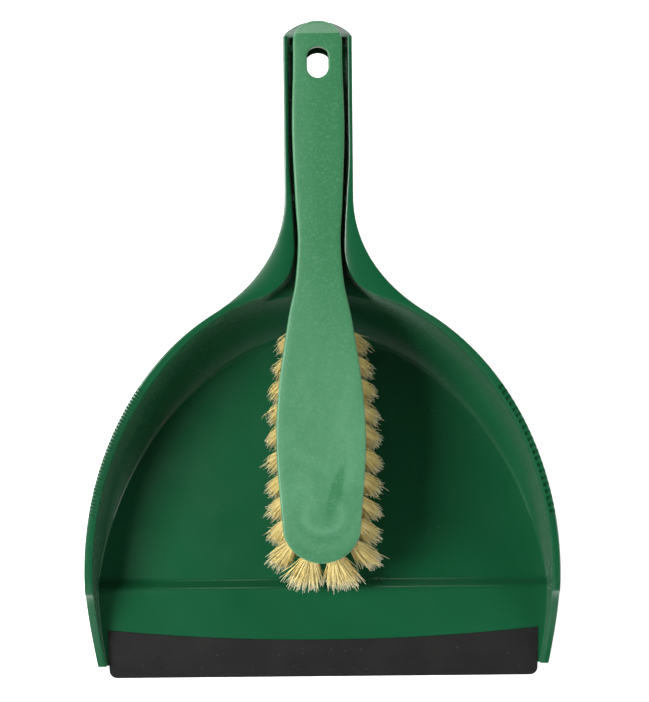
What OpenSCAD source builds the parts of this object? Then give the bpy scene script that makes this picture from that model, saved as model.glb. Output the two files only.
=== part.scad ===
// Dust pan and brush set: a moulded pan with a channel handle and a rubber lip,
// and a hand brush that lies in the channel with its tufts over the well.
// Millimetres, +Z up. The pan stands on z = 0, the handle points along +Y.
// Inside the modules y = 0 is the widest line of the pan; place() moves that to the frame.

/* [Pan plan] */
// Widest width of the pan over the rim
pan_width = 245; // [200:1:300]
// From the widest line back to where the D of the rim would close
well_depth = 152.5; // [125:0.5:185]
// From the widest line forward to the front edge of the moulding
front_len = 47; // [38:1:58]
// How much narrower each front corner is than the widest line
corner_taper = 4; // [1:0.5:8]
// Width of the flat rim at the sides
flange_w = 4.3; // [3.5:0.1:6]
// Width of the flat rim at the back
flange_back_w = 2.7; // [2.4:0.1:4]
// How far the back wall leans in between the rim and the floor
wall_run = 24; // [16:1:30]

/* [Pan heights] */
// Rim height at the back of the well
rim_back = 60; // [50:1:72]
// Rim height at the widest line
rim_side = 32; // [26:1:40]
// Rim height at the front corners
rim_front = 7; // [6:0.5:9]
// Height of the front edge of the ramp
ramp_edge_h = 2.6; // [2.5:0.1:3.2]
// Height of the ridge between the well and the front ramp
ridge_h = 8; // [6:0.5:10]
// From the widest line forward to the ridge
ridge_at = 6.5; // [4:0.5:9]
// Thickness of the floor
floor_t = 2.2; // [1.8:0.1:3]
// Thickness of the walls
wall_t = 2.2; // [1.8:0.1:3]
// Thickness of the rim
rim_t = 2.2; // [1.8:0.1:3]
// Depth of the skirt under the outer edge of the rim
skirt_h = 5; // [4:0.5:7]

/* [Pan handle] */
// Depth of the channel in the handle, from its rim to its floor
channel_depth = 18; // [15:0.5:22]
// Thickness of the channel floor
channel_floor_t = 2.4; // [2:0.1:3]
// How far each side of the channel leans in from rim to floor
channel_draft = 1.6; // [1:0.1:2.4]
// Free gap between the brush handle and each side of the channel
channel_gap = 2; // [1.6:0.1:3]
// Width of the slanted end face, along the handle
end_face_len = 9.5; // [8:0.5:13]
// How far the handle of the pan reaches past the end of the brush
end_lead = 1.2; // [0.6:0.2:4]
// Radius of the outline at the end of the handle
end_arc_r = 23; // [21:0.5:28]
// How far the rim of the handle stands above the rim at the back of the well
handle_rise = 2; // [1:0.5:4]
// From the end of the brush forward to the centre of the hanging hole
hang_in = 22; // [20:0.5:26]
// Diameter of the round hanging hole
hang_d = 14.5; // [10:0.5:16]
// Gap between a snap nub and the side of the brush handle
nub_gap = 0.4; // [0.3:0.1:0.8]

/* [Combs] */
// Tooth pitch of the fine comb on the left
fine_pitch = 1.9; // [1.6:0.1:2.4]
// Tooth pitch of the coarse comb on the right
coarse_pitch = 3.5; // [3:0.1:4.5]
// Depth of the comb grooves
comb_depth = 1.1; // [0.8:0.1:1.4]

/* [Rubber lip] */
// Length of the lip across the front
lip_len = 226; // [190:1:232]
// How far the lip stands out in front of the moulding
lip_overhang = 7; // [4:0.5:9]
// How far the lip reaches back over the ramp at its ends
lip_back = 19; // [14:0.5:22]
// How much less it reaches back in the middle
lip_bow = 6; // [2:0.5:8]
// Thickness of the lip over the ramp
lip_t = 1.2; // [1:0.1:1.4]
// How far the lip stands above the ramp around it
lip_proud = 0.3; // [0.1:0.1:0.5]
// Thickness of the lip at its front edge
lip_edge_t = 0.9; // [0.6:0.1:1.2]

/* [Brush] */
// Widest width of the block
block_w = 44.4; // [38:0.2:52]
// Thickness of the block
block_t = 18; // [16:0.5:20]
// Width at the waist between block and handle
waist_w = 21.3; // [18:0.1:25]
// Widest width of the handle
grip_w = 26.1; // [22:0.1:31]
// Thickness of the handle
grip_t = 12; // [9:0.5:13]
// Length of the handle from the waist to its end
grip_len = 110.8; // [92:0.2:132]
// From where the D of the rim would close back to the waist
waist_back = 20.7; // [18:0.1:26]
// From the widest line of the pan back to the front end of the block
brush_front = 12; // [8:0.5:18]
// Radius of the round front end of the block
nose_r = 20; // [17:0.5:22]
// How far the top of the brush stands above the rim of the channel
brush_proud = 2.4; // [1.5:0.1:4]
// Width of the hanging slot
slot_w = 10.4; // [8:0.2:12]
// Length of the hanging slot
slot_len = 15.3; // [13:0.1:20]
// Width of the slanted face at the end of the handle
end_bevel = 7.3; // [5:0.1:8]

/* [Tufts] */
// Least distance between the tufts of a row
tuft_pitch = 11.8; // [11:0.1:16]
// Diameter of a tuft hole
hole_d = 5.5; // [5:0.1:6.2]
// Depth of a tuft hole along its axis
hole_depth = 9; // [7.5:0.5:11]
// Diameter of a tuft where it is pinned
tuft_root_d = 4; // [3.4:0.1:4.4]
// How much a tuft widens for each millimetre of its length
tuft_flare = 0.144; // [0.1:0.002:0.15]
// Height of the tufts below the block
trim_h = 36; // [30:0.5:37]
// Distance from the edge of the block to the centre of the outer holes
edge_dist = 5.5; // [5:0.1:7]
// How far the tips of the outer tufts stand out sideways from their holes
side_reach = 9; // [6:0.5:10]
// How far the tips of the tufts stand forward of their holes
fore_reach = 5; // [3:0.5:6]
// How far the tips around the nose stand out from their holes
nose_reach = 20; // [18:0.5:21]
// Width of a tuft anchor
anchor_w = 6.3; // [6:0.1:7]
// Height of a tuft anchor along the hole
anchor_h = 1.8; // [1.4:0.1:2.2]
// Thickness of a tuft anchor
anchor_t = 0.35; // [0.3:0.05:0.5]

/* [Hidden] */
$fn = 64;

pan_green = [0.11, 0.36, 0.22];
brush_green = [0.24, 0.53, 0.35];
rubber_black = [0.2, 0.2, 0.2];
fibre_cream = [0.8, 0.76, 0.55];
staple_steel = [0.75, 0.75, 0.77];

// A cut runs past what it cuts by this much
past = 1;
high = 90;
wide = pan_width;

// Heights that follow from the driving ones
rim_handle = rim_back + handle_rise;
channel_z = rim_handle - channel_depth;
brush_top = rim_handle + brush_proud;
block_z = brush_top - block_t;
grip_z = brush_top - grip_t;
rest_gap = 0.4;
end_wall_top = grip_z - rest_gap;

// Lengths that follow from the driving ones, from the widest line of the pan
half_w = pan_width / 2;
waist_y = well_depth + waist_back;
brush_end = waist_y + grip_len;
handle_end = brush_end + end_lead;
channel_end = handle_end - end_face_len;
channel_half = grip_w / 2 + channel_gap;
handle_half = channel_half + wall_t;
hang_y = brush_end - hang_in;
lip_front = front_len + lip_overhang;
frame_y = (lip_front - handle_end) / 2;

// The rows of tufts, as places along the block and how many fit at their pitch
nose_y = brush_front + nose_r;
outer_from = nose_y + 1;
outer_to = waist_y - 45;
inner_from = outer_from + 6;
inner_to = outer_to - 6;
outer_side_count = 1 + floor((outer_to - outer_from) / tuft_pitch);
inner_side_count = 1 + floor((inner_to - inner_from) / tuft_pitch);
outer_nose_count = 4;
TUFTS = 2 * outer_side_count + outer_nose_count + 2 * inner_side_count + 1;
function tuft_name(i) = str("tuft_", i < 9 ? "0" : "", i + 1);

module place() translate([0, frame_y, 0]) children();

// ---- outlines: each is the right half of a plan, from the front to the handle ----

// A smooth curve through a few points
function bend(p0, p1, p2, p3, t) = 0.5 * (2 * p1 + (p2 - p0) * t
    + (2 * p0 - 5 * p1 + 4 * p2 - p3) * t * t + (3 * p1 - p0 - 3 * p2 + p3) * t * t * t);
function smooth(p, n) = let (last = len(p) - 1) concat(
    [for (i = [0:last - 1], k = [0:n - 1])
        bend(p[max(i - 1, 0)], p[i], p[i + 1], p[min(i + 2, last)], k / n)],
    [p[last]]);
function both_sides(p) = concat(p, [for (i = [len(p) - 1:-1:0]) [-p[i].x, p[i].y]]);

// The rim of the well: a straight, slightly tapered front and half an ellipse,
// with the outward normal of each point
ell_steps = 22;
front_far = 2 * front_len;
taper_power = 2.2;
front_steps = 4;
front_pts = [for (k = [0:front_steps]) let (y = -front_far * (1 - k / front_steps))
    [half_w - corner_taper * pow(-y / front_len, taper_power), y]];
function ell_angle(k) = 90 * k / ell_steps;
function ell_pt(a) = [half_w * cos(a), well_depth * sin(a)];
function ell_normal(a) = let (n = [cos(a) / half_w, sin(a) / well_depth]) n / norm(n);
well_angles = concat([for (k = [0:front_steps - 1]) 0], [for (k = [0:ell_steps - 1]) ell_angle(k)]);
well_rim = concat([for (k = [0:front_steps - 1]) front_pts[k]],
                  [for (k = [0:ell_steps - 1]) ell_pt(ell_angle(k))]);
narrow_from = 45;
narrow_to = 68;
flange_widths = [[0, flange_w], [narrow_from, flange_w], [narrow_to, flange_back_w], [90, flange_back_w]];
function flange_at(i) = lookup(well_angles[i], flange_widths);
function well_inset(d, i) = well_rim[i] - ell_normal(well_angles[i]) * d;

// The rim height along the pan, from the front corner to the end of the handle
side_rise = rim_side - rim_front;
end_fall = 7;
rim_line = concat([[-front_far, rim_front - 1]],
    smooth([[-front_len, rim_front], [-0.7 * front_len, rim_front + 0.18 * side_rise],
            [-0.21 * front_len, rim_front + 0.72 * side_rise], [0.04 * front_len, rim_side]], 3),
    smooth([[0.5 * well_depth, (rim_side + rim_back) / 2], [0.93 * well_depth, rim_back - 1],
            [waist_y, rim_handle]], 3),
    [[channel_end - rest_gap, rim_handle], [channel_end, end_wall_top],
     [handle_end + past, end_wall_top - end_fall]]);
function rim_z(y) = lookup(y, rim_line);

// The brush, seen from above
block_half = block_w / 2;
waist_half = waist_w / 2;
grip_half = grip_w / 2;
tip_r = grip_half - 0.75;
nose_fair = 0.985;
block_run = waist_y - nose_y;
brush_path = concat(
    [for (a = [-88:11:-22]) [nose_r * cos(a), nose_y + nose_r * sin(a)]],
    smooth([[nose_fair * nose_r, nose_y], [block_half, nose_y + 0.25 * block_run],
            [0.95 * block_half, nose_y + 0.465 * block_run],
            [0.46 * block_half + 0.54 * waist_half, nose_y + 0.717 * block_run],
            [0.13 * block_half + 0.87 * waist_half, nose_y + 0.852 * block_run], [waist_half, waist_y],
            [0.45 * grip_half + 0.55 * waist_half, waist_y + 0.18 * grip_len],
            [grip_half, waist_y + 0.5 * grip_len],
            [tip_r, brush_end - 2 * tip_r], [tip_r, brush_end - tip_r]], 6),
    [for (a = [15:15:75]) [tip_r * cos(a), brush_end - tip_r + tip_r * sin(a)]]);
brush_widths = [for (p = brush_path) [p.y, p.x]];
function brush_half(y) = lookup(y, brush_widths);

// The inside of the channel: its flared mouth between the shoulders, as steps outward from
// the channel's side and back from mouth_y, the part that follows the waist, and the rest
mouth_y = well_depth - 9;
mouth_flare = [[18, -3], [16, 0.8], [9.2, 4.3], [4, 8.4], [-0.1, 14.3]];
waist_steps = [-7.7, 0, 20];
channel_path = smooth(concat(
    [for (m = mouth_flare) [channel_half + m.x, mouth_y + m.y]],
    [for (d = waist_steps) [brush_half(waist_y + d) + channel_gap, waist_y + d]],
    [[channel_half, waist_y + 2 * waist_steps[2]], [channel_half, channel_end]]), 3);
channel_case = [for (i = [1:len(channel_path) - 1])
    channel_path[i] + [0, i == len(channel_path) - 1 ? wall_t : 0]];
function path_inset(p, d) = [for (i = [0:len(p) - 1])
    let (t = p[min(i + 1, len(p) - 1)] - p[max(i - 1, 0)], n = [t.y, -t.x] / norm(t))
    [p[i].x - n.x * d, p[i].y - (i == 0 ? 0 : n.y * d)]];

// The outer outline of the rim with its shoulders and the handle
leave = 64;
curve_steps = 12;
arc_steps = 5;
leave_pt = ell_pt(leave);
leave_dir = [-half_w * sin(leave), well_depth * cos(leave)];
corner = leave_pt + leave_dir * (leave_pt.x - handle_half) / -leave_dir.x;
shoulder_back = 22;
shoulder_end = [handle_half, waist_y + shoulder_back];
pull = 0.65;
c1 = leave_pt + pull * (corner - leave_pt);
c2 = shoulder_end + pull * (corner - shoulder_end);
function curve(t) = pow(1 - t, 3) * leave_pt + 3 * t * pow(1 - t, 2) * c1
    + 3 * t * t * (1 - t) * c2 + pow(t, 3) * shoulder_end;
end_flat = 82;
arc_y = handle_end - end_arc_r * sin(end_flat);
arc_from = acos(handle_half / end_arc_r);
outline = concat([for (p = front_pts) p], [for (a = [4:4:leave - 4]) ell_pt(a)],
    [for (k = [0:curve_steps]) curve(k / curve_steps)],
    [for (k = [0:arc_steps]) let (a = arc_from + (end_flat - arc_from) * k / arc_steps)
        [end_arc_r * cos(a), arc_y + end_arc_r * sin(a)]]);

// ---- solids that the outlines make ----

// A closed solid through rings, each the right half of a level from front to back
module loft(rings) {
    n = len(rings[0]);
    m = 2 * n;
    pts = [for (r = rings) each concat(r, [for (i = [n - 1:-1:0]) [-r[i].x, r[i].y, r[i].z]])];
    sides = [for (k = [0:len(rings) - 2], j = [0:m - 1]) let (a = k * m + j, b = k * m + (j + 1) % m)
        each [[a, a + m, b + m], [a, b + m, b]]];
    top = (len(rings) - 1) * m;
    caps = [for (i = [0:n - 2]) let (l = m - 1 - i) each [
        [i, i + 1, l - 1], [i, l - 1, l],
        [top + l, top + l - 1, top + i + 1], [top + l, top + i + 1, top + i]]];
    polyhedron(points = pts, faces = concat(sides, caps), convexity = 6);
}

// Share of the wall's lean that is left at a share s of its height: a soft foot, a straight top
straight = 0.4;
wall_draft = 0.3;
function lean_left(s) = straight * (1 - s) + (1 - straight) * pow(1 - s, 4);
wall_levels = [0, 0.05, 0.12, 0.2, 0.3, 0.45, 0.7, 1.15];
// The well as a block that stands a little past the rim line: base is the height of its bottom,
// grow how far it stands outside the inner wall, ahead how much further its front reaches
module well_block(base, grow, ahead) loft(
    [for (s = wall_levels) [for (i = [0:len(well_rim) - 1])
        let (rim = well_inset(flange_at(i), i),
             run = wall_run * sin(well_angles[i]) + wall_draft,
             p = well_inset(flange_at(i) + run * lean_left(s) - grow, i))
        [p.x, p.y - (i == 0 ? ahead : 0), base + s * (rim_z(rim.y) - base)]]]);

// The channel as a block that stands past its rim, drafted from its floor up
module channel_block(base, grow, path) loft([for (z = [base, high])
    [for (p = path_inset(path, channel_draft * (rim_handle - z) / channel_depth - grow)) [p.x, p.y, z]]]);

// A shape drawn as (y, z) and extruded across the pan
module across(width, points) translate([-width / 2, 0, 0]) rotate([90, 0, 90])
    linear_extrude(width) polygon(points);
// Everything between the rim line and a line this much below it
module under_rim(depth) across(2 * wide, concat(rim_line,
    [for (i = [len(rim_line) - 1:-1:0]) [rim_line[i].x, depth > 0 ? rim_line[i].y - depth : -past]]));

// ---- front ramp and lip ----

ramp_drop = ridge_h - ramp_edge_h;
ramp_slope = ramp_drop / (front_len - ridge_at);
function ramp_z(y) = ridge_h - (-ridge_at - y) * ramp_slope;
step_run = 4.2;
step_soft = 0.8;
step_y = -ridge_at + step_run;
under_step_y = step_y - floor_t - wall_draft;
floor_lap = 8;
ramp_top = [[floor_lap, floor_t], [step_y + 2 * step_soft, floor_t], [step_y, floor_t + step_soft],
            [-ridge_at + step_soft, ridge_h - step_soft / 2], [-ridge_at, ridge_h],
            [-front_len, ramp_z(-front_len)]];
ramp_under = [[-front_len, ramp_z(-front_len) - floor_t], [-ridge_at - 2 * step_soft, ridge_h - floor_t],
              [under_step_y, 0], [floor_lap, 0]];

// Plan of the front between the walls
module front_plan(inset) translate([0, 0, -past]) linear_extrude(high)
    polygon(both_sides([for (i = [0:front_steps + 2]) well_inset(flange_w + wall_draft + inset, i)]));
module ramp() intersection() {
    across(wide, concat(ramp_top, ramp_under));
    front_plan(-wall_t / 2);
}
module under_ramp() intersection() {
    across(wide, concat([[-front_len - past, -past]], [for (p = ramp_under) if (p.y > 0 || p.x < 0) p],
                        [[under_step_y, -past]]));
    front_plan(0);
}

// Plan of the lip: a straight front with small corners and a back edge bowed forward
lip_bow_r = (pow(lip_len / 2, 2) + lip_bow * lip_bow) / (2 * lip_bow);
lip_corner = 4;
lip_edge_y = -front_len + lip_back - lip_bow;
module lip_plan(grow) difference() {
    translate([0, 0, -past]) linear_extrude(high) polygon(both_sides([
        [lip_len / 2 - lip_corner, -lip_front], [lip_len / 2 + grow, -lip_front + lip_corner],
        [lip_len / 2 + grow, -front_len + lip_back + grow]]));
    translate([0, lip_edge_y + lip_bow_r + grow, -2 * past])
        cylinder(r = lip_bow_r, h = 2 * high, $fn = 360);
}
lip_bottom_y = -front_len - 0.2;
lip_seat_y = -front_len + lip_back + past;
lip_fit = 0.05;
module lip_recess() let (seat = lip_t + lip_fit) intersection() {
    across(wide, [[-lip_front, ramp_z(-front_len) - seat], [-front_len, ramp_z(-front_len) - seat],
                  [0, ramp_z(0) - seat], [0, 2 * ridge_h], [-lip_front, 2 * ridge_h]]);
    lip_plan(lip_fit);
}
module lip_body() intersection() {
    across(wide, [[lip_seat_y, ramp_z(lip_seat_y) + lip_proud], [lip_seat_y, ramp_z(lip_seat_y) - lip_t],
                  [-front_len, ramp_z(-front_len) - lip_t], [lip_bottom_y, ramp_z(-front_len) - lip_t],
                  [lip_bottom_y, 0], [-lip_front, 0], [-lip_front, lip_edge_t],
                  [-front_len, ramp_z(-front_len) + lip_proud]]);
    lip_plan(0);
}

// ---- combs, nubs ----

comb_from = 13.5;
comb_to = 41;
fine_root = 0.5;
coarse_root = 1.3;
comb_arc = norm(ell_pt(comb_to) - ell_pt(comb_from));
module comb(side, pitch, root) {
    n = round(comb_arc / pitch);
    for (k = [0:n]) {
        a = comb_from + (comb_to - comb_from) * k / n;
        p = ell_pt(a);
        v = ell_normal(a);
        translate([side * p.x, p.y, rim_z(p.y) - comb_depth])
            rotate([0, 0, side > 0 ? atan2(v.y, v.x) : 180 - atan2(v.y, v.x)])
                translate([-flange_w + root, -pitch / 4, 0]) cube([flange_w + past, pitch / 2, skirt_h]);
    }
}
nub_len = 3;
nub_h = 3.5;
nub_drop = 8;
nub_places = [waist_y + 20.8, brush_end - 14.3];
module nub(side, y) {
    inner = brush_half(y) + nub_gap;
    outer = channel_half + wall_t / 2;
    translate([side > 0 ? inner : -outer, y - nub_len / 2, rim_handle - nub_drop])
        cube([outer - inner, nub_len, nub_h]);
}

// ---- sub-parts ----

module pan_shell() color(pan_green) place() difference() {
    union() {
        difference() {
            union() {
                intersection() {
                    union() {
                        well_block(0, wall_t, 0);
                        channel_block(channel_z - channel_floor_t, wall_t, channel_case);
                    }
                    under_rim(0);
                }
                intersection() {
                    linear_extrude(high) polygon(both_sides(outline));
                    under_rim(rim_t);
                }
                intersection() {
                    difference() {
                        linear_extrude(high) polygon(both_sides(outline));
                        translate([0, 0, -past]) linear_extrude(high + 2 * past)
                            polygon(both_sides(path_inset(outline, wall_t)));
                    }
                    under_rim(skirt_h);
                }
            }
            well_block(floor_t, 0, past);
            channel_block(channel_z, 0, channel_path);
        }
        ramp();
        for (side = [-1, 1], y = nub_places) nub(side, y);
    }
    translate([-wide, -3 * front_len, -past]) cube([2 * wide, 2 * front_len, high]);
    under_ramp();
    lip_recess();
    comb(-1, fine_pitch, fine_root);
    comb(1, coarse_pitch, coarse_root);
    translate([0, hang_y, channel_z - 2 * channel_floor_t]) cylinder(d = hang_d, h = 3 * channel_floor_t);
}

module rubber_lip() color(rubber_black) place() lip_body();

// Where each tuft is rooted and how far its tip stands out of line, as [x, y, reach x, reach y]
fan_out = 3;
fan_fore = 3;
function fan(t) = pow(1 - t, 3);
function side_tufts(count, from, to, part) = [for (side = [1, -1], k = [0:count - 1])
    let (t = k / (count - 1), y = from + (to - from) * t)
    [side * (brush_half(y) - edge_dist) * part, y, side * (side_reach + fan_out * fan(t)) * part,
     -fore_reach - fan_fore * fan(t)]];
TUFT_PLAN = concat(
    side_tufts(outer_side_count, outer_from, outer_to, 1),
    [for (k = [1:outer_nose_count]) let (a = -180 * k / (outer_nose_count + 1), r = nose_r - edge_dist)
        [r * cos(a), nose_y + r * sin(a), nose_reach * cos(a), nose_reach * sin(a)]],
    side_tufts(inner_side_count, inner_from, inner_to, 1 / 3),
    [[0, nose_y - 4, 0, -fore_reach - fan_fore]]);

// Stands children on a tuft's axis: z = 0 at the bottom of its hole, +z out along the tuft
module on_tuft(i) {
    t = TUFT_PLAN[i];
    d = [t[2], t[3], -trim_h] / norm([t[2], t[3], trim_h]);
    translate([t[0], t[1], block_z] - d * hole_depth)
        rotate([0, 0, atan2(d.y, d.x)]) rotate([0, acos(d.z), 0]) children();
}
function tuft_len(i) = hole_depth + norm([TUFT_PLAN[i][2], TUFT_PLAN[i][3], trim_h]);

thin_from = waist_y - 28;
thin_to = waist_y - 14;
module brush_block() color(brush_green) place() difference() {
    translate([0, 0, block_z]) linear_extrude(block_t) polygon(both_sides(brush_path));
    across(wide, [[thin_from, block_z - past], [thin_to, grip_z], [brush_end + past, grip_z],
                  [brush_end + past, block_z - past]]);
    across(wide, [[brush_end - end_bevel, brush_top], [brush_end + past, brush_top - end_bevel - past],
                  [brush_end + past, brush_top + past], [brush_end - end_bevel, brush_top + past]]);
    for (s = [-1, 1]) translate([0, hang_y + s * (slot_len - slot_w) / 2, grip_z - past])
        cylinder(d = slot_w, h = grip_t + 2 * past);
    translate([-slot_w / 2, hang_y - (slot_len - slot_w) / 2, grip_z - past])
        cube([slot_w, slot_len - slot_w, grip_t + 2 * past]);
    for (i = [0:TUFTS - 1]) on_tuft(i) cylinder(d = hole_d, h = hole_depth + hole_d / 2);
}

module tuft(i) color(fibre_cream) place() on_tuft(i)
    cylinder(d1 = tuft_root_d, d2 = tuft_root_d + tuft_flare * tuft_len(i), h = tuft_len(i));

anchor_lift = 0.8;
module tuft_anchors() color(staple_steel) place() for (i = [0:TUFTS - 1]) on_tuft(i)
    translate([-anchor_t / 2, -anchor_w / 2, anchor_lift]) cube([anchor_t, anchor_w, anchor_h]);

pan_shell();
rubber_lip();
brush_block();
tuft_anchors();
for (i = [0:TUFTS - 1]) tuft(i);
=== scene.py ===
"""Looks of a dust pan and hand brush set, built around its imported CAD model.

The pan is one satin polypropylene moulding with a rolled rim, two combs and a channel handle, and has a
rubber lip. The brush is a structural-foam block with bundles of flagged fibre. Sizes are millimetres on a
plan whose y = 0 is the widest line of the pan; Plan.place turns them into metres in the CAD frame.
"""

import logging
import math
from dataclasses import dataclass, field
from enum import Enum
from typing import Callable, Iterable, Sequence

import bpy
import numpy as np
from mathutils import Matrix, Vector


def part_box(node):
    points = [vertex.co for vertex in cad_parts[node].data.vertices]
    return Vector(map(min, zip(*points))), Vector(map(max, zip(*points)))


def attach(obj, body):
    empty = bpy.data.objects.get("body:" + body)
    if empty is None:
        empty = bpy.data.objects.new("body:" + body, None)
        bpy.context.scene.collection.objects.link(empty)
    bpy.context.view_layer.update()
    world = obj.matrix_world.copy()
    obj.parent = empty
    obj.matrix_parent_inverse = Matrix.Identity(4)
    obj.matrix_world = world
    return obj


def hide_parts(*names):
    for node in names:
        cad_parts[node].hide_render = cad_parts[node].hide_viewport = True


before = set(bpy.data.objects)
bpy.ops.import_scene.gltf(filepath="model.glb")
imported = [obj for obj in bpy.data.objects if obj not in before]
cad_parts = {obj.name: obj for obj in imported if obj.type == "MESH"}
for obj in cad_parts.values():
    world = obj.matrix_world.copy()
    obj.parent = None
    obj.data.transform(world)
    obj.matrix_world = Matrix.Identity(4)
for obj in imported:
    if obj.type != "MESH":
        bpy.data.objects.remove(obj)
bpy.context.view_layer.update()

log = logging.getLogger("dust_pan_set")
MM = 0.001
Point = tuple[float, float, float]
Pair = tuple[float, float]
Socket = bpy.types.NodeSocket
MEAN_DRIFT = 0.004  # mean push of the foam's swirl, in metres


class Body(Enum):
    """CAD bodies that the pieces ride on."""

    PAN = "pan"
    BRUSH = "brush"


class Slot(Enum):
    """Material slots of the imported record."""

    PAN = "pan_plastic"
    LIP = "lip_rubber"
    BRUSH = "brush_plastic"
    FIBRE = "tuft_fibre"
    STEEL = "staple_steel"


# ---- curves and meshes ----


def smooth(points: Sequence[Sequence[float]], steps: int) -> np.ndarray:
    """Runs a Catmull-Rom curve through points.

    Args:
        points: Plan points, or points of a profile.
        steps: Pieces between two points.

    Returns:
        An array with one row for each point of the curve.
    """
    p = np.array(points, float)
    last = len(p) - 1
    rows = []
    for i in range(last):
        p0, p1, p2, p3 = p[max(i - 1, 0)], p[i], p[i + 1], p[min(i + 2, last)]
        for t in np.arange(steps) / steps:
            rows.append(0.5 * (2 * p1 + (p2 - p0) * t + (2 * p0 - 5 * p1 + 4 * p2 - p3) * t**2
                               + (3 * p1 - p0 - 3 * p2 + p3) * t**3))
    return np.array([*rows, p[last]])


def along(points: np.ndarray) -> np.ndarray:
    """Share of a polyline's length at each of its points, from 0 to 1."""
    steps = np.linalg.norm(np.diff(points, axis=0), axis=1)
    run = np.concatenate([[0.0], np.cumsum(steps)])
    return run / run[-1]


def deselect_all() -> None:
    """Leaves object mode with nothing selected."""
    if bpy.context.object and bpy.context.object.mode != "OBJECT":
        bpy.ops.object.mode_set(mode="OBJECT")
    bpy.ops.object.select_all(action="DESELECT")


def pick(obj: bpy.types.Object) -> None:
    """Makes obj the only selected object, and the active one."""
    deselect_all()
    obj.select_set(True)
    bpy.context.view_layer.objects.active = obj


def settle(obj: bpy.types.Object, weld: float = 2e-6) -> bpy.types.Object:
    """Merges the doubles of a piece and turns its faces outwards.

    Args:
        obj: The piece.
        weld: Distance within which points merge, in metres.

    Returns:
        The same piece.
    """
    pick(obj)
    bpy.ops.object.mode_set(mode="EDIT")
    bpy.ops.mesh.select_all(action="SELECT")
    bpy.ops.mesh.remove_doubles(threshold=weld)
    bpy.ops.mesh.dissolve_degenerate(threshold=weld)
    bpy.ops.mesh.normals_make_consistent(inside=False)
    bpy.ops.object.mode_set(mode="OBJECT")
    return obj


def apply_modifier(obj: bpy.types.Object, kind: str, **settings: object) -> None:
    """Adds a modifier with its settings and applies it.

    Args:
        obj: The piece.
        kind: Blender's name of the modifier type.
        **settings: Attributes of the modifier.
    """
    pick(obj)
    modifier = obj.modifiers.new(kind.lower(), kind)
    for name, value in settings.items():
        setattr(modifier, name, value)
    bpy.ops.object.modifier_apply(modifier=modifier.name)


def combine(obj: bpy.types.Object, other: bpy.types.Object, operation: str) -> None:
    """Cuts other from obj or adds it to obj, and removes other.

    Args:
        obj: The piece that stays.
        other: The cutter or the addition.
        operation: DIFFERENCE or UNION.
    """
    apply_modifier(obj, "BOOLEAN", operation=operation, object=other, solver="EXACT")
    bpy.data.objects.remove(other)


def join(pieces: Sequence[bpy.types.Object], name: str) -> bpy.types.Object:
    """Joins pieces into the first one.

    Args:
        pieces: The pieces.
        name: Name of the joined piece.

    Returns:
        The joined piece.
    """
    pick(pieces[0])
    for piece in pieces:
        piece.select_set(True)
    bpy.ops.object.join()
    pieces[0].name = name
    return pieces[0]


def shade(obj: bpy.types.Object, degrees: float) -> None:
    """Shades obj smooth apart from edges sharper than an angle."""
    pick(obj)
    bpy.ops.object.shade_smooth_by_angle(angle=math.radians(degrees))


@dataclass
class Patchwork:
    """A mesh sewn from grids of points that share their borders."""

    points: list[Point] = field(default_factory=list)
    faces: list[tuple[int, ...]] = field(default_factory=list)

    def grid(self, rows: Sequence[Sequence[Point]], closed: bool = False) -> None:
        """Adds the faces of a grid.

        Args:
            rows: Rows of equal length.
            closed: Whether each row's end joins its start.
        """
        start, width = len(self.points), len(rows[0])
        for row in rows:
            self.points.extend(tuple(p) for p in row)
        for r in range(len(rows) - 1):
            for c in range(width if closed else width - 1):
                a, b = start + r * width + c, start + r * width + (c + 1) % width
                self.faces.append((a, b, b + width, a + width))

    def tube(self, rows: Sequence[Sequence[Point]]) -> None:
        """Adds a closed tube of sections with a cap at each end.

        Args:
            rows: Closed sections with equal numbers of points.
        """
        self.grid(rows, closed=True)
        width = len(rows[0])
        last = len(self.points) - width
        self.faces += [tuple(range(width)), tuple(range(last, last + width))]

    def piece(self, name: str, place: Callable[[np.ndarray], np.ndarray]) -> bpy.types.Object:
        """Makes the sewn object.

        Args:
            name: Name of the piece.
            place: Turns plan millimetres into metres in the CAD frame.

        Returns:
            The object, welded and with its faces outwards.
        """
        mesh = bpy.data.meshes.new(name)
        mesh.from_pydata(place(np.array(self.points, float)).tolist(), [], self.faces)
        mesh.validate()
        obj = bpy.data.objects.new(name, mesh)
        bpy.context.scene.collection.objects.link(obj)
        return settle(obj)


# ---- materials ----


def linear(hex_colour: str) -> tuple[float, float, float, float]:
    """Turns an sRGB hex colour into linear RGBA."""
    parts = [int(hex_colour[i:i + 2], 16) / 255 for i in (1, 3, 5)]
    return (*[c / 12.92 if c <= 0.04045 else ((c + 0.055) / 1.055) ** 2.4 for c in parts], 1.0)


def add_node(tree: bpy.types.NodeTree, kind: str, inputs: dict[object, object] | None = None,
             **settings: object) -> bpy.types.Node:
    """Adds one node.

    Args:
        tree: The node tree.
        kind: The node's type name.
        inputs: An output socket or a constant, by the name or number of the input that it feeds.
        **settings: Attributes of the node.

    Returns:
        The node.
    """
    node = tree.nodes.new(kind)
    for name, value in settings.items():
        setattr(node, name, value)
    feed(tree, node, inputs or {})
    return node


def feed(tree: bpy.types.NodeTree, node: bpy.types.Node, inputs: dict[object, object]) -> None:
    """Links sockets to a node's inputs, and sets the inputs that have constants.

    Args:
        tree: The node tree.
        node: The node.
        inputs: An output socket or a constant, by the name or number of the input that it feeds.
    """
    for key, value in inputs.items():
        if isinstance(value, bpy.types.NodeSocket):
            tree.links.new(value, node.inputs[key])
        else:
            node.inputs[key].default_value = value


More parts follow.
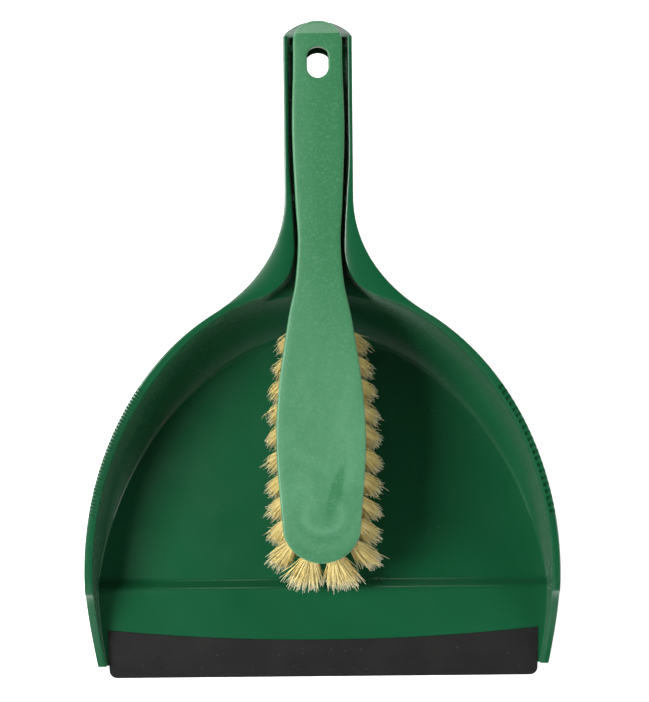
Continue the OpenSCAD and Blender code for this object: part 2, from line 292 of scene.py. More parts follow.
class Recipe:
    """A Principled material in the making. Its methods add nodes and return the sockets that they give."""

    def __init__(self, name: str) -> None:
        """Starts the material.

        Args:
            name: Name of the real material.
        """
        self.material = bpy.data.materials.new(name)
        self.material.use_nodes = True
        self.tree = self.material.node_tree
        self.shader = self.tree.nodes["Principled BSDF"]

    def place(self) -> Socket:
        """Place on the piece, in metres."""
        return add_node(self.tree, "ShaderNodeTexCoord").outputs["Object"]

    def stretched(self, place: Socket, scale: Point) -> Socket:
        """Place multiplied by a scale along each axis."""
        return add_node(self.tree, "ShaderNodeMapping", {"Vector": place, "Scale": scale}).outputs["Vector"]

    def noise(self, place: Socket, size_mm: float, detail: float, **inputs: float) -> bpy.types.Node:
        """Noise with features of about a size. Its other inputs go by their names in small letters."""
        more = {name.capitalize(): value for name, value in inputs.items()}
        return add_node(self.tree, "ShaderNodeTexNoise",
                        {"Vector": place, "Scale": 1 / (size_mm * MM), "Detail": detail, **more})

    def remap(self, value: Socket, span: Pair, to: Pair, smoothly: bool = False) -> Socket:
        """Value carried from one span to another, with eased ends if smoothly is set."""
        inputs = {"Value": value, "From Min": span[0], "From Max": span[1], "To Min": to[0], "To Max": to[1]}
        kind = "SMOOTHSTEP" if smoothly else "LINEAR"
        return add_node(self.tree, "ShaderNodeMapRange", inputs, interpolation_type=kind).outputs["Result"]

    def maths(self, operation: str, first: Socket, second: object) -> Socket:
        """Sum, product or maximum of two values."""
        return add_node(self.tree, "ShaderNodeMath", {0: first, 1: second}, operation=operation).outputs[0]

    def vector(self, operation: str, first: Socket, second: object) -> Socket:
        """Sum or product of two vectors."""
        return add_node(self.tree, "ShaderNodeVectorMath", {0: first, 1: second},
                        operation=operation).outputs[0]

    def blend(self, share: Socket, first: Socket | str, second: str) -> Socket:
        """Mix of two colours, either as a socket or in sRGB hex: all of the second one at a share of 1."""
        first = linear(first) if isinstance(first, str) else first
        return add_node(self.tree, "ShaderNodeMix", {0: share, 6: first, 7: linear(second)},
                        data_type="RGBA").outputs[2]

    def ramp(self, value: Socket, stops: Sequence[tuple[float, str]]) -> Socket:
        """Colour of a value on a soft ramp of places and sRGB hex colours, in order."""
        node = add_node(self.tree, "ShaderNodeValToRGB", {"Fac": value})
        ramp = node.color_ramp
        ramp.interpolation = "B_SPLINE"
        while len(ramp.elements) < len(stops):
            ramp.elements.new(0.5)
        for element, (at, colour) in zip(ramp.elements, stops):
            element.position, element.color = at, linear(colour)
        return node.outputs["Color"]

    def spot(self, place: Socket, centre: Pair, half: Pair, turn: float) -> Socket:
        """Distance from a spot in its own half sizes, so that it is 1 on the spot's edge.

        Args:
            place: Place on the piece.
            centre: Middle of the spot, in metres.
            half: Its half width and half length, in metres.
            turn: Its turn about Z, in degrees.

        Returns:
            The distance.
        """
        mapping = add_node(self.tree, "ShaderNodeMapping", {
            "Vector": place, "Location": (centre[0] + MEAN_DRIFT, centre[1] + MEAN_DRIFT, 0.0),
            "Rotation": (0.0, 0.0, math.radians(turn)), "Scale": (half[0], half[1], 1.0)},
            vector_type="TEXTURE")
        return add_node(self.tree, "ShaderNodeVectorMath", {0: mapping.outputs["Vector"]},
                        operation="LENGTH").outputs["Value"]

    def relief(self, height: Socket, strength: float, depth_mm: float) -> None:
        """Gives the surface a fine relief."""
        bump = add_node(self.tree, "ShaderNodeBump",
                        {"Height": height, "Strength": strength, "Distance": depth_mm * MM})
        feed(self.tree, self.shader, {"Normal": bump.outputs["Normal"]})

    def done(self, colour: Socket | str, inputs: dict[str, object]) -> bpy.types.Material:
        """Gives the shader its colour and its other inputs, and hands over the material."""
        colour = linear(colour) if isinstance(colour, str) else colour
        feed(self.tree, self.shader, {"Base Color": colour, **inputs})
        return self.material


@dataclass(frozen=True)
class MouldedPolypropylene:
    """Injection-moulded polypropylene: satin gloss, a faint orange peel and a few dulled, scuffed patches."""

    name: str = "moulded_polypropylene_green"
    deep: str = "#094c2c"
    pale: str = "#135d39"
    bloom: float = 0.12
    bloom_roughness: float = 0.4
    roughness: Pair = (0.17, 0.33)
    ior: float = 1.49
    cloud_mm: float = 60.0
    scuff_mm: float = 24.0
    peel_mm: float = 2.2
    peel_strength: float = 0.35
    peel_depth_mm: float = 0.02

    def material(self) -> bpy.types.Material:
        """Builds the material."""
        recipe = Recipe(self.name)
        place = recipe.place()
        cloud = recipe.noise(place, self.cloud_mm, 1.0).outputs["Fac"]
        scuff = recipe.noise(place, self.scuff_mm, 2.0).outputs["Fac"]
        peel = recipe.noise(place, self.peel_mm, 2.0).outputs["Fac"]
        recipe.relief(peel, self.peel_strength, self.peel_depth_mm)
        return recipe.done(recipe.blend(cloud, self.deep, self.pale), {
            "Roughness": recipe.remap(scuff, (0.0, 1.0), self.roughness), "IOR": self.ior,
            "Sheen Weight": self.bloom, "Sheen Roughness": self.bloom_roughness})


@dataclass(frozen=True)
class FoamPolypropylene:
    """Structural-foam polypropylene: paler than the pan, with silvery gas swirls and a fine speckle.

    The skin is smooth towards the handle, at the nose and in a streak where the plastic came in, with faint
    arcs ahead of it. Places and spans along the brush are in metres.
    """

    name: str = "structural_foam_polypropylene"
    deep: str = "#428058"
    base: str = "#4b8860"
    pale: str = "#57936b"
    speck: str = "#74a988"
    smooth: str = "#307549"
    roughness: float = 0.42
    ior: float = 1.49
    swirl_mm: float = 26.0
    swirl_stretch: Point = (1.0, 0.45, 1.0)
    wave: float = 0.06
    speck_mm: float = 1.1
    speck_strength: float = 0.4
    speck_depth_mm: float = 0.05
    foam_to: float = 0.045
    foam_fade: float = 0.05
    side_span: Pair = (-0.013, 0.004)
    nose_span: Pair = (-0.104, -0.055)
    gate: Pair = (0.0068, -0.0686)
    gate_half: Pair = (0.0036, 0.0145)
    gate_turn: float = -20.0
    curl: Pair = (0.001, -0.079)
    curl_half: Pair = (0.009, 0.0085)
    curl_reach: float = 4.0
    curl_fade: Pair = (-0.004, 0.012)
    arcs: tuple[tuple[float, str], ...] = ((0.18, "#000000"), (0.26, "#ffffff"), (0.33, "#000000"),
                                           (0.4, "#000000"), (0.5, "#bcbcbc"), (0.6, "#000000"))

    def material(self) -> bpy.types.Material:
        """Builds the material."""
        recipe = Recipe(self.name)
        place = recipe.place()
        swirl = recipe.noise(recipe.stretched(place, self.swirl_stretch), self.swirl_mm, 6.0,
                             roughness=0.6, distortion=1.6)
        foam = recipe.ramp(swirl.outputs["Fac"], [(0.32, self.deep), (0.5, self.base), (0.68, self.pale)])
        level = add_node(recipe.tree, "ShaderNodeSeparateXYZ", {"Vector": place})
        x, y = level.outputs["X"], level.outputs["Y"]
        reach = recipe.maths("ADD", y, recipe.maths("MULTIPLY", swirl.outputs["Fac"], self.wave))
        fade = (self.foam_to - self.foam_fade, self.foam_to + self.foam_fade)
        skin = recipe.remap(reach, fade, (0.0, 1.0), True)
        back = recipe.maths("MULTIPLY", skin, recipe.remap(x, self.side_span, (0.55, 1.0), True))
        dense = recipe.maths("MAXIMUM", back, recipe.remap(y, self.nose_span, (0.6, 0.0), True))
        colour = recipe.blend(dense, foam, self.smooth)
        drift = recipe.vector("MULTIPLY", swirl.outputs["Color"], (2 * MEAN_DRIFT, 2 * MEAN_DRIFT, 0.0))
        loose = recipe.vector("ADD", place, drift)
        streak = recipe.spot(loose, self.gate, self.gate_half, self.gate_turn)
        colour = recipe.blend(recipe.remap(streak, (0.55, 1.25), (0.85, 0.0), True), colour, self.smooth)
        rings = recipe.spot(loose, self.curl, self.curl_half, 0.0)
        arcs = recipe.ramp(recipe.remap(rings, (0.0, self.curl_reach), (0.0, 1.0)), self.arcs)
        span = (self.curl[1] + self.curl_fade[0], self.curl[1] + self.curl_fade[1])
        veil = recipe.maths("MULTIPLY", arcs, recipe.remap(y, span, (0.4, 0.0), True))
        colour = recipe.blend(veil, colour, self.speck)
        speck = recipe.noise(place, self.speck_mm, 3.0, roughness=0.7).outputs["Fac"]
        recipe.relief(speck, self.speck_strength, self.speck_depth_mm)
        colour = recipe.blend(recipe.remap(speck, (0.52, 0.75), (0.0, 0.4)), colour, self.speck)
        return recipe.done(colour, {"Roughness": self.roughness, "IOR": self.ior})


@dataclass(frozen=True)
class MouldedRubber:
    """Matt black moulded rubber: bloom makes it charcoal, with pale dust specks."""

    name: str = "moulded_rubber_charcoal"
    deep: str = "#0e0e0e"
    base: str = "#121212"
    bloom: str = "#191918"
    dust: str = "#555551"
    roughness: float = 0.72
    specular: float = 0.3
    ior: float = 1.52
    bloom_mm: float = 18.0
    dust_mm: float = 1.6
    grain_mm: float = 0.6
    grain_strength: float = 0.3
    grain_depth_mm: float = 0.03

    def material(self) -> bpy.types.Material:
        """Builds the material."""
        recipe = Recipe(self.name)
        place = recipe.place()
        bloom = recipe.noise(place, self.bloom_mm, 5.0).outputs["Fac"]
        rubber = recipe.ramp(bloom, [(0.3, self.deep), (0.5, self.base), (0.7, self.bloom)])
        dust = recipe.noise(place, self.dust_mm, 2.0).outputs["Fac"]
        colour = recipe.blend(recipe.remap(dust, (0.7, 0.78), (0.0, 0.5)), rubber, self.dust)
        grain = recipe.noise(place, self.grain_mm, 2.0).outputs["Fac"]
        recipe.relief(grain, self.grain_strength, self.grain_depth_mm)
        return recipe.done(colour, {"Roughness": self.roughness, "IOR": self.ior,
                                    "Specular IOR Level": self.specular})


@dataclass(frozen=True)
class FlaggedFibre:
    """Crimped plant-like fibre: straw yellow, each hair its own tone, with split, paler tips, and painted
    shade darkening each hair towards its root.
    """

    name: str = "flagged_straw_fibre"
    dark: str = "#dfcb82"
    base: str = "#fbe592"
    pale: str = "#fff3ba"
    tip: str = "#fffae6"
    # root: painted shade, the colour the hairs darken to near the block
    root: str = "#b9a35c"
    roughness: float = 0.5
    ior: float = 1.53
    tone: str = "fibre_tone"
    run: str = "fibre_run"

    def material(self) -> bpy.types.Material:
        """Builds the material."""
        recipe = Recipe(self.name)
        tone, run = (add_node(recipe.tree, "ShaderNodeAttribute", attribute_name=name).outputs["Fac"]
                     for name in (self.tone, self.run))
        colour = recipe.ramp(tone, [(0.0, self.dark), (0.45, self.base), (1.0, self.pale)])
        # painted shade: hairs darker towards their roots, where the block and the other hairs shade them
        colour = recipe.blend(recipe.remap(run, (0.0, 0.3), (0.6, 0.0)), colour, self.root)
        colour = recipe.blend(recipe.remap(run, (0.72, 1.0), (0.0, 0.75)), colour, self.tip)
        return recipe.done(colour, {"Roughness": self.roughness, "IOR": self.ior})


@dataclass(frozen=True)
class DrawnSteelStrip:
    """Drawn flat steel wire: grey, with fine lines along it."""

    name: str = "drawn_steel_strip"
    base: str = "#b4b5b8"
    dull: str = "#8f9093"
    roughness: float = 0.34
    line_mm: float = 0.3

    def material(self) -> bpy.types.Material:
        """Builds the material."""
        recipe = Recipe(self.name)
        lines = recipe.noise(recipe.stretched(recipe.place(), (1.0, 0.1, 1.0)), self.line_mm, 2.0)
        colour = recipe.ramp(lines.outputs["Fac"], [(0.35, self.dull), (0.65, self.base)])
        return recipe.done(colour, {"Metallic": 1.0, "Roughness": self.roughness})


@dataclass(frozen=True)
class MattFloor:
    """A plain pale matt floor, lit from below as a light table is, so that it keeps no dark shadow."""

    name: str = "matt_white_floor"
    base: str = "#f4f4f4"
    glow: float = 0.85

    def material(self) -> bpy.types.Material:
        """Builds the material."""
        return Recipe(self.name).done(self.base, {
            "Roughness": 0.9, "Specular IOR Level": 0.1,
            "Emission Color": linear(self.base), "Emission Strength": self.glow})


def dress(obj: bpy.types.Object, material: bpy.types.Material, body: Body,
          nodes: Iterable[str] = ()) -> bpy.types.Object:
    """Gives a piece its material, body and the CAD nodes that it stands for.

    Args:
        obj: The piece.
        material: Its material.
        body: The CAD body that it rides on.
        nodes: CAD nodes that it replaces.

    Returns:
        The same piece.
    """
    obj.data.materials.clear()
    obj.data.materials.append(material)
    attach(obj, body.value)
    names = list(nodes)
    if names:
        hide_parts(*names)
    return obj


# ---- the plan of the set ----


@dataclass
class Plan:
    """Outlines and heights that the pieces share, in millimetres from the widest line of the pan."""

    half_w: float
    handle_end: float
    rim_handle: float
    front_len: float = 47.0
    well_depth: float = 152.5
    corner_taper: float = 4.0
    flange_w: float = 4.3
    flange_back_w: float = 2.7
    wall_run: float = 24.0
    wall_draft: float = 0.3
    rim_back: float = 60.0
    rim_side: float = 32.0
    rim_front: float = 7.0
    floor_t: float = 2.2
    ridge_h: float = 8.0
    ridge_at: float = 6.5
    ramp_edge_h: float = 2.6
    waist_back: float = 20.7
    channel_depth: float = 18.0
    channel_half: float = 15.05
    wall_t: float = 2.2
    end_face_len: float = 9.5
    end_wall_top: float = 52.0
    end_fall: float = 7.0
    brush_front: float = 12.0
    nose_r: float = 20.0
    grip_len: float = 110.8
    block_half: float = 22.2
    waist_half: float = 10.65
    grip_half: float = 13.05
    tip_r: float = 12.3
    frame_y: float = 0.0

    @classmethod
    def from_frame(cls) -> "Plan":
        """Takes the overall sizes from the CAD boxes of the pan and the brush."""
        low, high = (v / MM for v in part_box("pan_shell"))
        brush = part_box("brush_block")[1] / MM
        frame_y = low.y + cls.front_len
        return cls(half_w=high.x, handle_end=high.y - frame_y, rim_handle=high.z,
                   block_half=brush.x, frame_y=frame_y)

    def place(self, points: np.ndarray) -> np.ndarray:
        """Turns plan points into metres in the CAD frame."""
        return (np.asarray(points, float) + [0.0, self.frame_y, 0.0]) * MM

    @property
    def waist_y(self) -> float:
        """Where the brush is narrowest."""
        return self.well_depth + self.waist_back

    @property
    def brush_end(self) -> float:
        """End of the brush handle."""
        return self.waist_y + self.grip_len

    @property
    def channel_end(self) -> float:
        """End of the channel."""
        return self.handle_end - self.end_face_len

    @property
    def channel_z(self) -> float:
        """Height of the channel floor."""
        return self.rim_handle - self.channel_depth

    def edge(self, u: float) -> np.ndarray:
        """Outer edge of the well's rim: u is y on the front part, and from 0 up an angle in degrees."""
        if u < 0:
            return np.array([self.half_w - self.corner_taper * (-u / self.front_len) ** 2.2, u])
        a = math.radians(u)
        return np.array([self.half_w * math.cos(a), self.well_depth * math.sin(a)])

    def normal(self, u: float) -> np.ndarray:
        """Outward direction of the rim's edge."""
        a = math.radians(max(u, 0.0))
        n = np.array([math.cos(a) / self.half_w, math.sin(a) / self.well_depth])
        return n / np.linalg.norm(n)

    def flange(self, u: float) -> float:
        """Width of the flat rim."""
        return float(np.interp(u, [45.0, 68.0], [self.flange_w, self.flange_back_w]))

    def rim_in(self, u: float) -> np.ndarray:
        """Inner edge of the flat rim."""
        return self.edge(u) - self.normal(u) * self.flange(u)

    def rim_z(self, y: float) -> float:
        """Height of the rim along the pan."""
        if not hasattr(self, "_rim"):
            rise = self.rim_side - self.rim_front
            front = smooth([[-self.front_len, self.rim_front],
                            [-0.7 * self.front_len, self.rim_front + 0.18 * rise],
                            [-0.21 * self.front_len, self.rim_front + 0.72 * rise],
                            [0.04 * self.front_len, self.rim_side],
                            [0.5 * self.well_depth, (self.rim_side + self.rim_back) / 2],
                            [0.93 * self.well_depth, self.rim_back - 1], [self.waist_y, self.rim_handle]], 12)
            back = [[self.channel_end - 0.4, self.rim_handle], [self.channel_end, self.end_wall_top],
                    [self.handle_end + 1, self.end_wall_top - self.end_fall]]
            self._rim = np.concatenate([front, back])
        return float(np.interp(y, self._rim[:, 0], self._rim[:, 1]))

    def floor_z(self, y: float) -> float:
        """Height of the floor, with the step up to the ramp in front of the well."""
        ridge = -self.ridge_at
        slope = (self.ridge_h - self.ramp_edge_h) / (self.front_len - self.ridge_at)
        ys = [-self.front_len, ridge - 2.0, ridge - 0.9, ridge, ridge + 0.7, ridge + 1.4, ridge + 3.4,
              ridge + 4.1, ridge + 5.0, ridge + 6.0]
        top = self.ridge_h
        zs = [self.ramp_edge_h, top - 2.0 * slope - 0.02, top - 0.17, top - 0.42, top - 0.95, top - 1.7,
              self.floor_t + 1.35, self.floor_t + 0.6, self.floor_t + 0.15, self.floor_t]
        return float(np.interp(y, ys, zs))

    def wall_inset(self, u: float, z: float, base: float) -> float:
        """Distance from the rim's outer edge in to the wall at a height above its base."""
        left = 1 - min(max((z - base) / (self.rim_z(self.rim_in(u)[1]) - base), 0.0), 1.0)
        run = self.wall_run * math.sin(math.radians(max(u, 0.0))) + self.wall_draft
        return self.flange(u) + run * (0.4 * left + 0.6 * left**4)

    def brush_path(self) -> np.ndarray:
        """Right half of the brush, seen from above, from its nose to its end."""
        nose_y = self.brush_front + self.nose_r
        run = self.waist_y - nose_y
        block, waist, grip, tip = self.block_half, self.waist_half, self.grip_half, self.tip_r
        nose = [[self.nose_r * math.cos(math.radians(a)), nose_y + self.nose_r * math.sin(math.radians(a))]
                for a in range(-88, -8, 8)]
        side = smooth([[0.985 * self.nose_r, nose_y], [block, nose_y + 0.25 * run],
                       [0.95 * block, nose_y + 0.465 * run],
                       [0.46 * block + 0.54 * waist, nose_y + 0.717 * run],
                       [0.13 * block + 0.87 * waist, nose_y + 0.852 * run], [waist, self.waist_y],
                       [0.45 * grip + 0.55 * waist, self.waist_y + 0.18 * self.grip_len],
                       [grip, self.waist_y + 0.5 * self.grip_len],
                       [tip, self.brush_end - 2 * tip], [tip, self.brush_end - tip]], 10)
        end = [[tip * math.cos(math.radians(a)), self.brush_end - tip + tip * math.sin(math.radians(a))]
               for a in range(8, 88, 8)]
        return np.concatenate([nose, side, end])

    def brush_half(self, y: float) -> float:
        """Half width of the brush at y."""
        path = self.brush_path()
        return float(np.interp(y, path[:, 1], path[:, 0]))


# ---- pan ----


@dataclass
class PanShell:
    """The pan: one moulding with its well, ramp, rolled rim, combs, shoulders and channel handle."""

    plan: Plan
    finish: MouldedPolypropylene = MouldedPolypropylene()
    mouth_angle: float = 75.5
    leave_angle: float = 64.0
    shoulder_back: float = 22.0
    shoulder_pull: float = 0.65
    end_arc_r: float = 23.0
    end_flat: float = 82.0
    mouth_flare: tuple[tuple[float, float], ...] = ((9.2, 4.3), (4.0, 8.4), (-0.1, 14.3))
    mouth_draft: float = 2.6
    channel_draft: float = 1.6
    across: int = 28
    inner_r: float = 0.6
    outer_r: float = 0.9
    skirt_h: float = 5.0
    skirt_t: float = 1.5
    hollow_span: Pair = (3.0, 3.8)
    end_lead: float = 1.2
    foot_r: float = 0.9
    hang_in: float = 22.0
    hang_r: float = 7.25
    comb_from: float = 13.5
    comb_to: float = 41.0
    comb_depth: float = 1.1
    fine_pitch: float = 1.9
    fine_root: float = 0.5
    coarse_pitch: float = 3.5
    coarse_root: float = 1.3
    nub_size: tuple[float, float] = (3.0, 3.5)
    nub_drop: float = 8.0
    nub_gap: float = 0.4
    nub_r: float = 0.5
    nub_from_waist: float = 20.8
    nub_from_end: float = 14.3

    def __post_init__(self) -> None:
        """Works out the stations of the well and the channel."""
        plan = self.plan
        ridge = -plan.ridge_at
        front = [-plan.front_len, -42.0, -36.0, -30.0, -24.0, -18.0, -13.0, ridge - 2.0, ridge - 0.9, ridge,
                 ridge + 0.7, ridge + 1.4, ridge + 2.4, ridge + 3.4, ridge + 4.1, ridge + 5.0, ridge + 6.0]
        self.stations = front + list(np.linspace(0.0, self.mouth_angle, 46))
        top = plan.rim_z(plan.rim_in(self.mouth_angle)[1]) - self.inner_r
        self.low_share = (plan.channel_z - plan.floor_t - 0.7) / (top - plan.floor_t - 0.7)
        self.shares = [0.0, 0.03, 0.07, 0.12, 0.18, 0.25, 0.34, 0.45, 0.58, self.low_share, 0.87, 1.0]
        self.low = self.shares.index(self.low_share)
        self.back = list(np.linspace(180 - self.mouth_angle, self.mouth_angle, self.across + 1))
        self.path = self.channel_path()

    def channel_path(self) -> np.ndarray:
        """Right inner edge of the channel at its rim, from the mouth to the end."""
        plan = self.plan
        mouth_y = plan.well_depth - 9
        start = [plan.rim_in(a) for a in (self.mouth_angle - 3, self.mouth_angle)]
        flare = [[plan.channel_half + x, mouth_y + y] for x, y in self.mouth_flare]
        waist = [[plan.brush_half(plan.waist_y + d) + 2, plan.waist_y + d] for d in (-7.7, 0, 20)]
        straight = [[plan.channel_half, y] for y in np.linspace(plan.waist_y + 40, plan.channel_end - 0.4, 4)]
        curve = smooth([*start, *flare, *waist, *straight], 6)[7:]
        return np.concatenate([curve, [[plan.channel_half, plan.channel_end]]])

    def column(self, u: float, under: bool) -> list[Point]:
        """Points of the well's wall from the floor up to the rim at one station on the right.

        Args:
            u: The station, as Plan.edge takes it.
            under: Whether it is the outer face of the wall.

        Returns:
            The points, two for the fillet at the foot and one for each share of the height.
        """
        plan = self.plan
        grow, base = (plan.wall_t, 0.0) if under else (0.0, plan.floor_t)
        mirror = u > 90
        u = 180 - u if mirror else u
        edge, n = plan.edge(u), plan.normal(u)
        foot = plan.floor_z(edge[1])
        top_u = self.mouth_angle if u > self.mouth_angle else u
        top = plan.rim_z(plan.rim_in(top_u)[1]) - self.inner_r
        drop = plan.floor_t if under else 0.0
        rows = [(foot - drop, self.foot_r), (foot - drop + 0.12, 0.35 * self.foot_r)]
        inner = plan.rim_in(u)
        depth = self.under_depth(inner, self.outer_of(u, None)) - self.inner_r if under else 0.0
        for share in self.shares:
            z = foot + 0.7 + share * (top - foot - 0.7)
            extra = drop + (depth - drop) * max(0.0, (share - self.low_share) / (1 - self.low_share))
            rows.append((z - (extra if under else 0.0), 0.0))
        points = []
        for z, inward in rows:
            x, y = edge - n * (plan.wall_inset(u, z if inward == 0 else foot - drop, base) - grow + inward)
            points.append((-x if mirror else x, edge[1] if u < 0 else y, z))
        return points

    def under_depth(self, inner: np.ndarray, outer: np.ndarray) -> float:
        """Depth of the rim's underside between its edges: thin where it is wide enough to be hollow."""
        span = np.linalg.norm(outer - inner)
        return float(np.interp(span, self.hollow_span, [self.skirt_h, self.plan.wall_t]))

    def shoulder(self, t: float) -> np.ndarray:
        """Outer edge of the shoulder, from where it leaves the ellipse, t = 0, to the handle, t = 1."""
        plan = self.plan
        half = plan.channel_half + plan.wall_t
        a = math.radians(self.leave_angle)
        start = plan.edge(self.leave_angle)
        tangent = np.array([-plan.half_w * math.sin(a), plan.well_depth * math.cos(a)])
        corner = start + tangent * (start[0] - half) / -tangent[0]
        end = np.array([half, plan.waist_y + self.shoulder_back])
        c1, c2 = (p + self.shoulder_pull * (corner - p) for p in (start, end))
        return (1 - t)**3 * start + 3 * t * (1 - t)**2 * c1 + 3 * t**2 * (1 - t) * c2 + t**3 * end

    def shoulder_shares(self) -> tuple[list[float], list[float]]:
        """How far round the shoulder each station is: those of the well, then those of the channel."""
        if not hasattr(self, "_shares"):
            plan = self.plan
            well = [u for u in self.stations if u >= self.leave_angle]
            handle = [p for p in self.path if p[1] <= plan.waist_y + self.shoulder_back]
            inner = np.array([plan.rim_in(self.leave_angle), *[plan.rim_in(u) for u in well], *handle,
                              [plan.channel_half, plan.waist_y + self.shoulder_back]])
            shares = along(inner)[1:-1]
            curve = np.array([self.shoulder(t) for t in np.linspace(0, 1, 41)])
            ts = np.interp(shares, along(curve), np.linspace(0, 1, 41))
            self._shares = (list(ts[:len(well)]), list(ts[len(well):]))
        return self._shares

    def outer_of(self, u: float | None, row: int | None) -> np.ndarray:
        """Outer edge that belongs to a station of the well, or to a row of the channel.

        Args:
            u: Station of the well, or None.
            row: Row of the channel, or None.

        Returns:
            The plan point.
        """
        plan = self.plan
        well, handle = self.shoulder_shares()
        if u is not None:
            if u < self.leave_angle:
                return plan.edge(u)
            known = [s for s in self.stations if s >= self.leave_angle]
            return self.shoulder(float(np.interp(u, known, well)))
        if row < len(handle):
            return self.shoulder(handle[row])
        y = self.path[row][1]
        lead = self.end_lead if row == len(self.path) - 1 else 0.0
        return np.array([plan.channel_half + plan.wall_t, y + lead])

    def end_points(self) -> list[tuple[np.ndarray, np.ndarray]]:
        """Inner and outer points across the end of the channel, from right to left, without the corners."""
        plan = self.plan
        half = plan.channel_half + plan.wall_t
        centre = plan.handle_end - self.end_arc_r * math.sin(math.radians(self.end_flat))
        first = math.degrees(math.acos(half / self.end_arc_r))
        pairs = []
        for i in range(1, self.across):
            t = i / self.across
            a = math.radians(first + (180 - 2 * first) * t)
            y = min(centre + self.end_arc_r * math.sin(a), plan.handle_end)
            inner = np.array([plan.channel_half * (1 - 2 * t), plan.channel_end])
            pairs.append((inner, np.array([self.end_arc_r * math.cos(a), y])))
        return pairs

    def draft_at(self, row: int) -> float:
        """How far the channel's side leans in at its floor, easing from the mouth."""
        return float(np.interp(row, [0, 8], [self.mouth_draft, self.channel_draft]))

    def side_normal(self, row: int) -> np.ndarray:
        """Outward direction of the channel's side at a row."""
        path = self.path
        t = path[min(row + 1, len(path) - 2)] - path[max(row - 1, 0)]
        return np.array([t[1], -t[0]]) / np.linalg.norm(t)

    def channel_column(self, row: int, under: bool) -> list[Point]:
        """Points of the channel's right side at a row, from its floor up to its rim."""
        plan = self.plan
        last = row == len(self.path) - 1
        point, n = self.path[row], self.side_normal(row)
        if last:
            n = np.array([1.0, 1.0]) if under else np.array([1.0, 0.0])
        rim = plan.rim_z(point[1])
        depth = self.under_depth(point, self.outer_of(None, row)) if under else self.inner_r
        low, top = plan.channel_z - (plan.wall_t if under else 0.0), rim - depth
        points = []
        for share in self.shares[self.low:]:
            z = low + (share - self.low_share) / (1 - self.low_share) * (top - low)
            lean = self.draft_at(row) * (plan.rim_handle - z) / plan.channel_depth
            grow = plan.wall_t if under else 0.0
            x, y = point + (n * [grow - lean, grow] if last else n * (grow - lean))
            points.append((x, y, z))
        return points

    def floor_rows(self, under: bool) -> list[list[Point]]:
        """Rows of points of the floor and the ramp, from the front to the back wall."""
        back = [self.column(u, under)[0] for u in self.back]
        rows = []
        for u in self.stations:
            x, y, z = self.column(u, under)[0]
            share = (max(u, 0.0) / self.mouth_angle) ** 4
            row = []
            for i, (bx, by, _) in enumerate(back):
                straight = x * (2 * i / self.across - 1)
                even = back[-1][0] * (2 * i / self.across - 1)
                row.append((straight + (bx - even) * share, y + (by - back[-1][1]) * share, z))
            rows.append(row)
        return rows

    def channel_rows(self, under: bool) -> list[list[Point]]:
        """Rows of points of the channel's floor, from the top of the back wall to the end."""
        k = self.low + 2
        first = [self.column(u, under)[k] for u in self.back]
        rows = [first]
        for row in range(len(self.path)):
            x, y, z = self.channel_column(row, under)[0]
            fade = max(0.0, 1 - (y - first[-1][1]) / 12)
            rows.append([(x * (2 * i / self.across - 1), y + (p[1] - first[-1][1]) * fade, z)
                         for i, p in enumerate(first)])
        return rows

    def channel_side(self, under: bool) -> list[list[Point]]:
        """Columns round the channel, from the right of the mouth by the end to the left of the mouth."""
        plan = self.plan
        right = [self.column(self.mouth_angle, under)[self.low + 2:]]
        right += [self.channel_column(row, under) for row in range(len(self.path))]
        corner = right[-1]
        columns = list(right)
        for inner, _ in self.end_points():
            share = inner[0] / plan.channel_half
            columns.append([(x * share, y, z) for x, y, z in corner])
        columns += [[(-x, y, z) for x, y, z in column] for column in reversed(right)]
        return columns

    def rim_columns(self, under: bool) -> list[list[Point]]:
        """Columns of the rim, from the front right corner round the handle to the front left corner."""
        plan = self.plan
        pairs = [(plan.rim_in(u), self.outer_of(u, None), self.column(u, under)[-1]) for u in self.stations]
        pairs += [(self.path[r], self.outer_of(None, r), self.channel_column(r, under)[-1])
                  for r in range(len(self.path))]
        half = list(pairs)
        corner = pairs[-1]
        for inner, outer in self.end_points():
            x, y, z = corner[2]
            pairs.append((inner, outer, (x * inner[0] / plan.channel_half, y, z)))
        for inner, outer, (x, y, z) in reversed(half):
            pairs.append((inner * [-1, 1], outer * [-1, 1], (-x, y, z)))
        return [self.rim_profile(inner, outer, wall, under) for inner, outer, wall in pairs]

    def rim_profile(self, inner: np.ndarray, outer: np.ndarray, wall: Point, under: bool) -> list[Point]:
        """Section of the rim at one place, from the top of the wall to the bottom of the skirt.

        Args:
            inner: Inner edge of the flat rim.
            outer: Outer edge.
            wall: Topmost point of the wall below it.
            under: Whether it is the hidden side.

        Returns:
            Seven points.
        """
        plan = self.plan
        span = float(np.linalg.norm(outer - inner))
        out = (outer - inner) / span
        z_in, z_out = plan.rim_z(inner[1]), plan.rim_z(outer[1])
        if not under:
            r, s = self.inner_r, self.outer_r
            steps = [(0.29 * r, z_in - 0.29 * r), (r, z_in), (span - s, z_out),
                     (span - 0.29 * s, z_out - 0.29 * s), (span, z_out - s), (span, z_out - self.skirt_h)]
            return [wall, *[(*(inner + out * d), z) for d, z in steps]]
        depth = self.under_depth(inner, outer)
        thick = min(self.skirt_t, 0.7 * max(span - plan.wall_t, 0.0))
        upper = (*(inner + out * (span - thick)), z_out - depth)
        lower = (*(inner + out * (span - thick)), z_out - self.skirt_h)
        return [wall, wall, wall, upper, upper, lower, lower]

